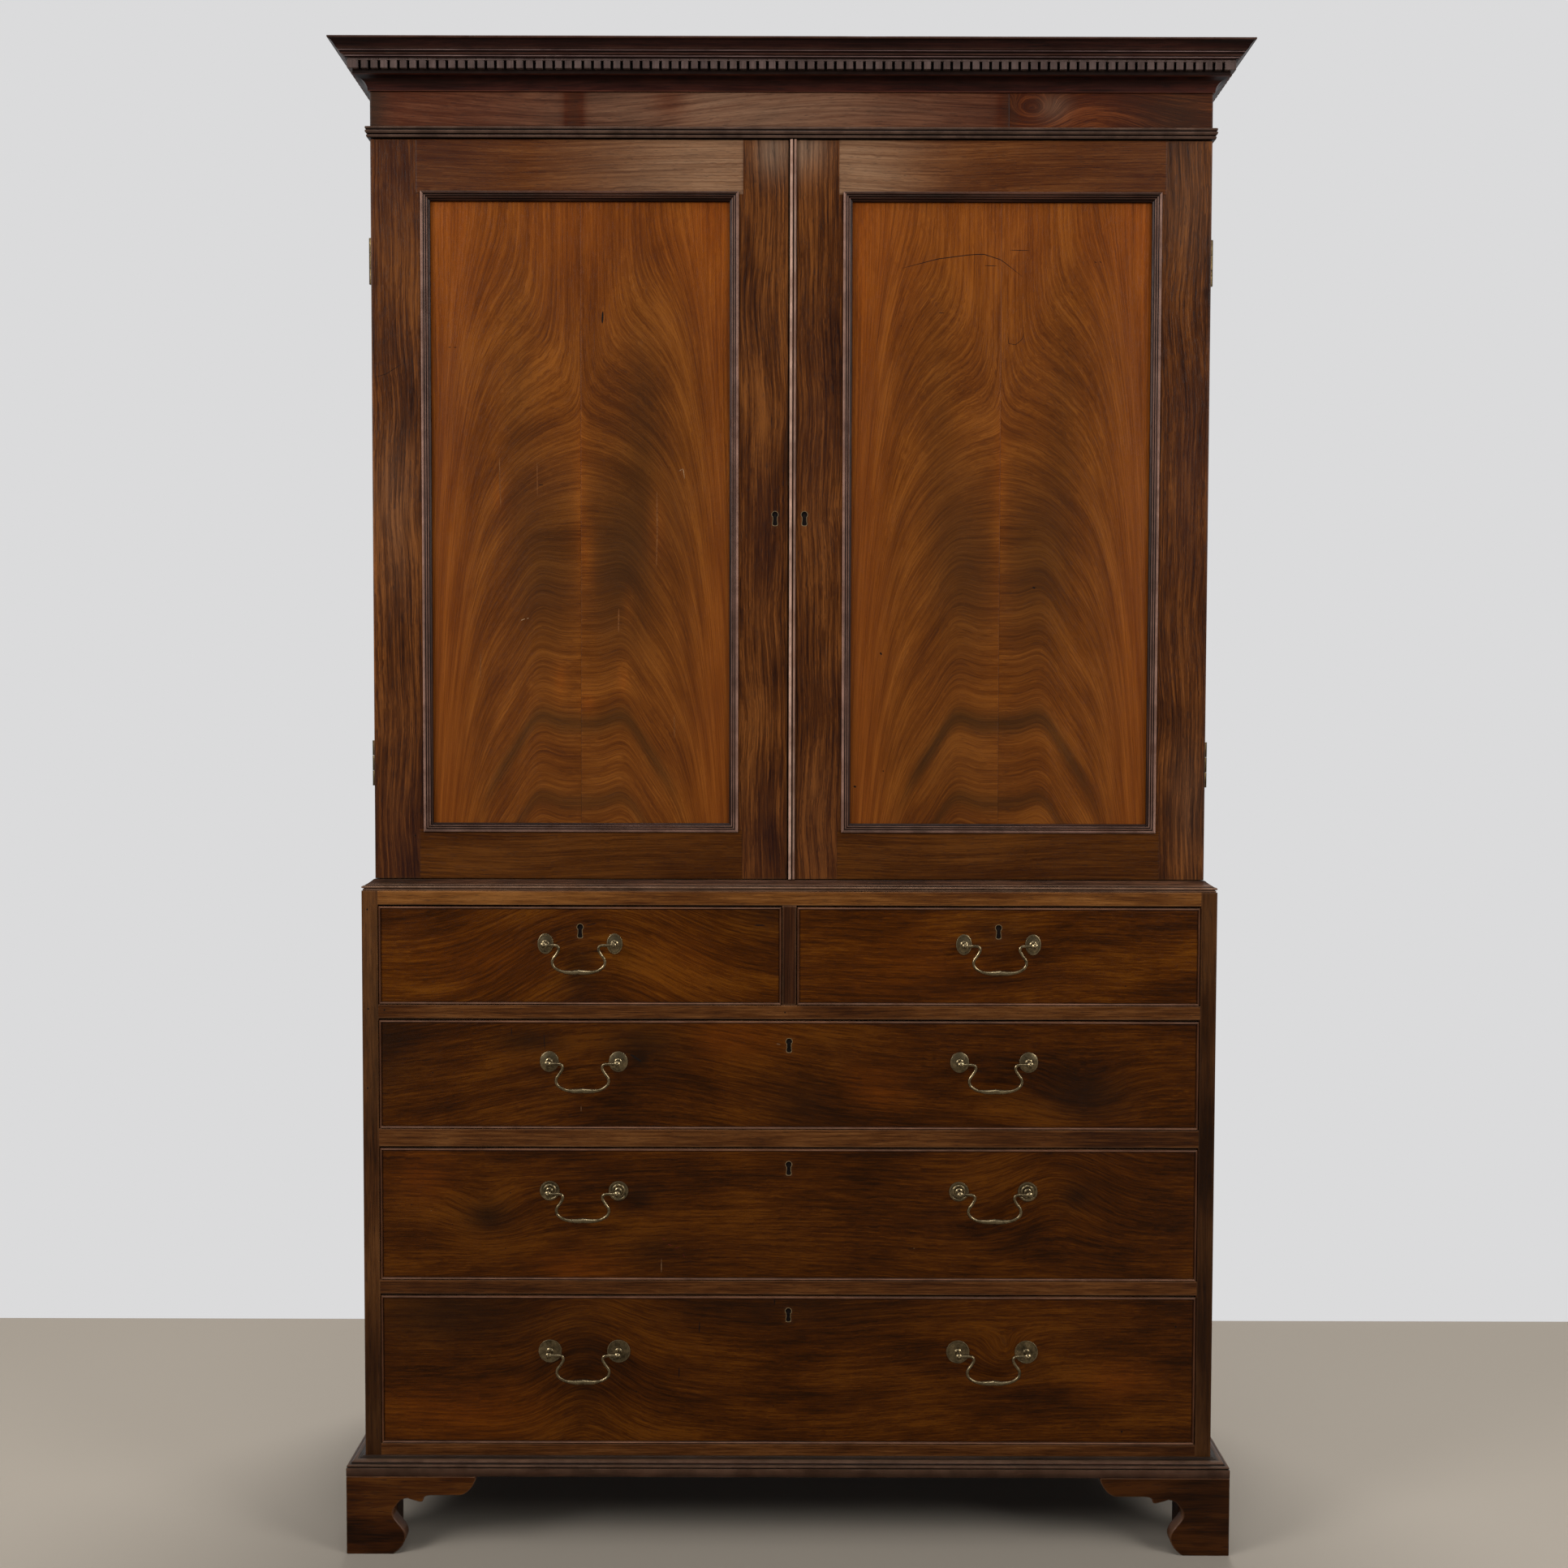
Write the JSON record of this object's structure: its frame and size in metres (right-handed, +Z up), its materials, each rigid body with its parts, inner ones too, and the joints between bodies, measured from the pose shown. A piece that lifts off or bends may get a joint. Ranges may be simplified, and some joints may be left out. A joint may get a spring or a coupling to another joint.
{
  "type": "linen press",
  "caption": "Free-standing linen press: a two-door cupboard with sliding trays and dentilled cornice over a chest of drawers on bracket feet, with brass bail handles.",
  "frame": {"origin": "on the floor under the middle of the bounding box", "axes": "+Z up, the doors and drawers face -Y, +X is to the right seen from the front"},
  "size_m": [1.262, 0.591, 2.1035],
  "materials": {
    "mahogany": "polished solid and veneered mahogany, red brown",
    "dark_mahogany": "polished mahogany darkened with age, on the mouldings and feet",
    "flame_mahogany": "polished book-matched crotch veneer, orange brown",
    "deal": "unpolished pine backboards",
    "oak": "unpolished oak drawer linings and trays",
    "brass": "dark aged brass"
  },
  "bodies": {
    "carcass": {"foot_front_left": "dark_mahogany", "foot_front_right": "dark_mahogany", "foot_rear_left": "dark_mahogany", "foot_rear_right": "dark_mahogany", "base_moulding": "dark_mahogany", "chest_side_left": "mahogany", "chest_side_right": "mahogany", "chest_top_board": "mahogany", "chest_bottom_board": "mahogany", "chest_back": "deal", "drawer_shelf_1": "mahogany", "drawer_shelf_2": "mahogany", "drawer_shelf_3": "mahogany", "drawer_divider": "mahogany", "waist_moulding": "dark_mahogany", "neck_moulding": "dark_mahogany", "press_side_left": "mahogany", "press_side_right": "mahogany", "press_bottom_board": "mahogany", "press_top_board": "mahogany", "press_back": "deal", "linen_tray_1": "oak", "linen_tray_2": "oak", "linen_tray_3": "oak", "linen_tray_4": "oak", "cornice_frieze": "mahogany", "cornice_moulding": "dark_mahogany", "left_door_lower_hinge_case_leaf": "brass", "left_door_upper_hinge_case_leaf": "brass", "right_door_lower_hinge_case_leaf": "brass", "right_door_upper_hinge_case_leaf": "brass"},
    "left_door": {"left_door_frame": "mahogany", "left_door_panel": "flame_mahogany", "left_door_moulding": "dark_mahogany", "left_door_lower_hinge_door_leaf": "brass", "left_door_upper_hinge_door_leaf": "brass"},
    "right_door": {"right_door_frame": "mahogany", "right_door_panel": "flame_mahogany", "right_door_moulding": "dark_mahogany", "meeting_bead": "mahogany", "right_door_lower_hinge_door_leaf": "brass", "right_door_upper_hinge_door_leaf": "brass"},
    "bottom_drawer": {"bottom_drawer_front": "mahogany", "bottom_drawer_box": "oak"},
    "third_drawer": {"third_drawer_front": "mahogany", "third_drawer_box": "oak"},
    "second_drawer": {"second_drawer_front": "mahogany", "second_drawer_box": "oak"},
    "top_left_drawer": {"top_left_drawer_front": "mahogany", "top_left_drawer_box": "oak"},
    "top_right_drawer": {"top_right_drawer_front": "mahogany", "top_right_drawer_box": "oak"},
    "bottom_drawer_left_bail_body": {"bottom_drawer_left_bail": "brass"},
    "bottom_drawer_right_bail_body": {"bottom_drawer_right_bail": "brass"},
    "third_drawer_left_bail_body": {"third_drawer_left_bail": "brass"},
    "third_drawer_right_bail_body": {"third_drawer_right_bail": "brass"},
    "second_drawer_left_bail_body": {"second_drawer_left_bail": "brass"},
    "second_drawer_right_bail_body": {"second_drawer_right_bail": "brass"},
    "top_left_drawer_bail_body": {"top_left_drawer_bail": "brass"},
    "top_right_drawer_bail_body": {"top_right_drawer_bail": "brass"}
  },
  "joints": [
    {"name": "left_door_hinge", "type": "hinge", "parent": "carcass", "child": "left_door", "pos_m": [-0.5882, -0.226, 0.9525], "axis": [0, 0, -1], "range_deg": [0, 170]},
    {"name": "right_door_hinge", "type": "hinge", "parent": "carcass", "child": "right_door", "pos_m": [0.5882, -0.226, 0.9525], "axis": [0, 0, 1], "range_deg": [0, 170]},
    {"name": "bottom_drawer_slide", "type": "slide", "parent": "carcass", "child": "bottom_drawer", "axis": [0, -1, 0], "range_m": [0, 0.4]},
    {"name": "third_drawer_slide", "type": "slide", "parent": "carcass", "child": "third_drawer", "axis": [0, -1, 0], "range_m": [0, 0.4]},
    {"name": "second_drawer_slide", "type": "slide", "parent": "carcass", "child": "second_drawer", "axis": [0, -1, 0], "range_m": [0, 0.4]},
    {"name": "top_left_drawer_slide", "type": "slide", "parent": "carcass", "child": "top_left_drawer", "axis": [0, -1, 0], "range_m": [0, 0.4]},
    {"name": "top_right_drawer_slide", "type": "slide", "parent": "carcass", "child": "top_right_drawer", "axis": [0, -1, 0], "range_m": [0, 0.4]},
    {"name": "bottom_drawer_left_bail_pivot", "type": "hinge", "parent": "bottom_drawer", "child": "bottom_drawer_left_bail_body", "pos_m": [-0.2885, -0.2825, 0.283], "axis": [-1, 0, 0], "range_deg": [-15, 85]},
    {"name": "bottom_drawer_right_bail_pivot", "type": "hinge", "parent": "bottom_drawer", "child": "bottom_drawer_right_bail_body", "pos_m": [0.2885, -0.2825, 0.283], "axis": [-1, 0, 0], "range_deg": [-15, 85]},
    {"name": "third_drawer_left_bail_pivot", "type": "hinge", "parent": "third_drawer", "child": "third_drawer_left_bail_body", "pos_m": [-0.2885, -0.2825, 0.5125], "axis": [-1, 0, 0], "range_deg": [-15, 85]},
    {"name": "third_drawer_right_bail_pivot", "type": "hinge", "parent": "third_drawer", "child": "third_drawer_right_bail_body", "pos_m": [0.2885, -0.2825, 0.5125], "axis": [-1, 0, 0], "range_deg": [-15, 85]},
    {"name": "second_drawer_left_bail_pivot", "type": "hinge", "parent": "second_drawer", "child": "second_drawer_left_bail_body", "pos_m": [-0.2885, -0.2825, 0.696], "axis": [-1, 0, 0], "range_deg": [-15, 85]},
    {"name": "second_drawer_right_bail_pivot", "type": "hinge", "parent": "second_drawer", "child": "second_drawer_right_bail_body", "pos_m": [0.2885, -0.2825, 0.696], "axis": [-1, 0, 0], "range_deg": [-15, 85]},
    {"name": "top_left_drawer_bail_pivot", "type": "hinge", "parent": "top_left_drawer", "child": "top_left_drawer_bail_body", "pos_m": [-0.2935, -0.2825, 0.8625], "axis": [-1, 0, 0], "range_deg": [-15, 85]},
    {"name": "top_right_drawer_bail_pivot", "type": "hinge", "parent": "top_right_drawer", "child": "top_right_drawer_bail_body", "pos_m": [0.2935, -0.2825, 0.8625], "axis": [-1, 0, 0], "range_deg": [-15, 85]}
  ]
}
